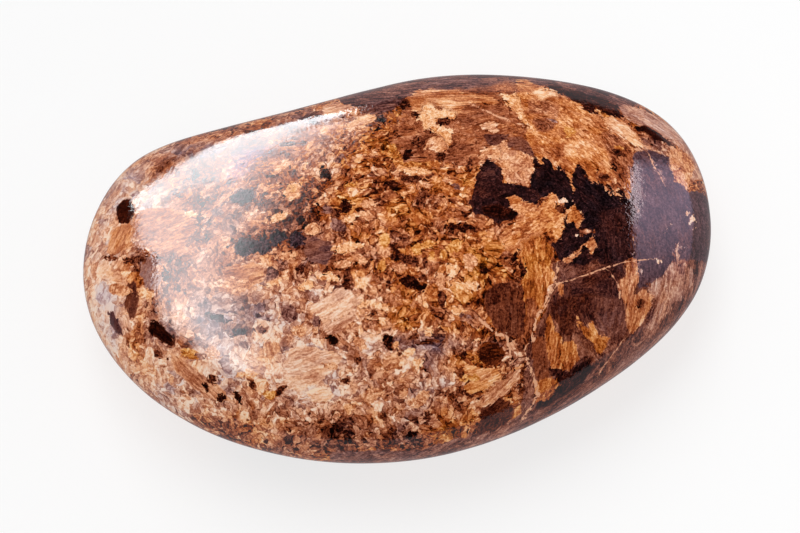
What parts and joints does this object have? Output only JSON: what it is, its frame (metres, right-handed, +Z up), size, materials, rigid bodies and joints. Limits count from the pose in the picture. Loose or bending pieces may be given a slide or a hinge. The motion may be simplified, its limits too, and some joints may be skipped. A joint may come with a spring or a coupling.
{
  "type": "polished bronzite stone",
  "caption": "Small tumbled pebble of bronze-brown bronzite rock, polished all over, about as long as a thumb joint, lying on its worn belly.",
  "frame": {"origin": "on the surface that the stone lies on, under the middle of its box", "axes": "+X along the stone's longest side, +Y across it towards its back, +Z up"},
  "size_m": [0.0316, 0.0214, 0.0099],
  "materials": {
    "polished_bronzite": "wet-looking tumble polish over copper-brown schiller flakes, near-black grains and thin pale veins"
  },
  "bodies": {
    "root": {"stone": "polished_bronzite"}
  },
  "joints": []
}
